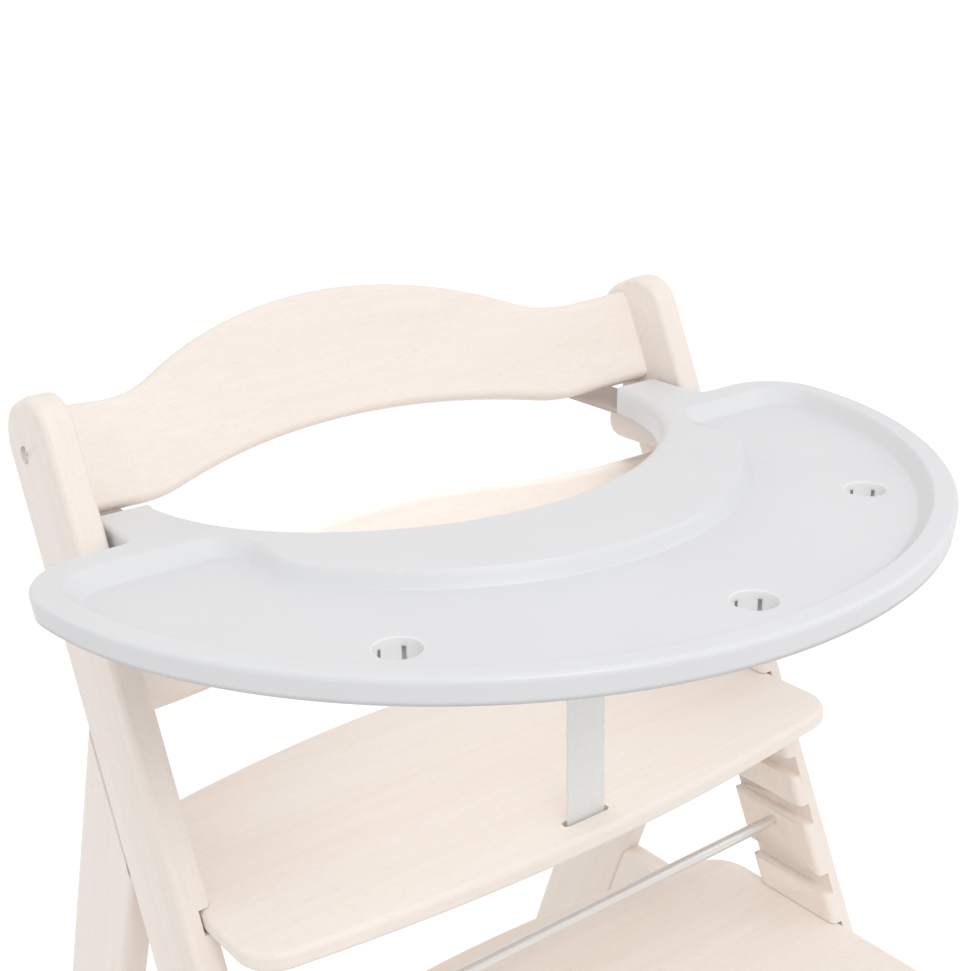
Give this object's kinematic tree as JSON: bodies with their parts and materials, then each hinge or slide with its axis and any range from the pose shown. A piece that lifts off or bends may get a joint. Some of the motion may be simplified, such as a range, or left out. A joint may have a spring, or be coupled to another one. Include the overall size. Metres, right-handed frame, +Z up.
{
  "type": "baby high chair",
  "caption": "wooden step-type baby high chair with leaning A-shaped side frames, bent wavy backrests, grooved-in seat and footrest, and a clip-on white play tray with toy sockets",
  "frame": {"origin": "on the floor in the middle of the chair's footprint", "axes": "+Z up, +X to the right of someone who faces the chair's front, the child faces -Y"},
  "size_m": [0.5546, 0.576, 0.8108],
  "materials": {
    "whitewashed_beech": "satin whitewashed lacquer",
    "dowel_beech": "raw",
    "white_plastic": "satin moulded",
    "grey_webbing": "woven",
    "zinc_steel": "zinc plated",
    "grey_felt_rubber": "matt"
  },
  "bodies": {
    "chair_frame": {"left_upright": "whitewashed_beech", "right_upright": "whitewashed_beech", "left_rear_leg": "whitewashed_beech", "right_rear_leg": "whitewashed_beech", "left_side_rail": "whitewashed_beech", "right_side_rail": "whitewashed_beech", "frame_dowels": "dowel_beech", "upper_backrest": "whitewashed_beech", "lower_backrest": "whitewashed_beech", "backrest_screws": "zinc_steel", "backrest_dowels": "dowel_beech", "front_bar": "whitewashed_beech", "front_bar_bolts": "zinc_steel", "front_bar_insert_nuts": "zinc_steel", "upper_tie_rod": "zinc_steel", "lower_tie_rod": "zinc_steel", "tie_rod_nuts": "zinc_steel", "rear_stretcher": "whitewashed_beech", "stretcher_bolts": "zinc_steel", "stretcher_barrel_nuts": "zinc_steel", "floor_glides": "grey_felt_rubber", "crotch_strap": "grey_webbing"},
    "play_tray": {"tray": "white_plastic", "left_tray_clip": "white_plastic", "right_tray_clip": "white_plastic", "tray_clip_screws": "zinc_steel"},
    "seat": {"seat_plate": "whitewashed_beech", "strap_anchor": "zinc_steel"},
    "footrest": {"footrest_plate": "whitewashed_beech"}
  },
  "joints": [
    {"name": "tray_tilt", "type": "hinge", "parent": "chair_frame", "child": "play_tray", "pos_m": [0, 0.097, 0.714], "axis": [-1, 0, 0], "range_deg": [0, 25]},
    {"name": "seat_slide", "type": "slide", "parent": "chair_frame", "child": "seat", "axis": [0, -1, 0], "range_m": [-0.02, 0.03], "deforming": ["crotch_strap"]},
    {"name": "footrest_slide", "type": "slide", "parent": "chair_frame", "child": "footrest", "axis": [0, -1, 0], "range_m": [-0.02, 0.03]}
  ]
}
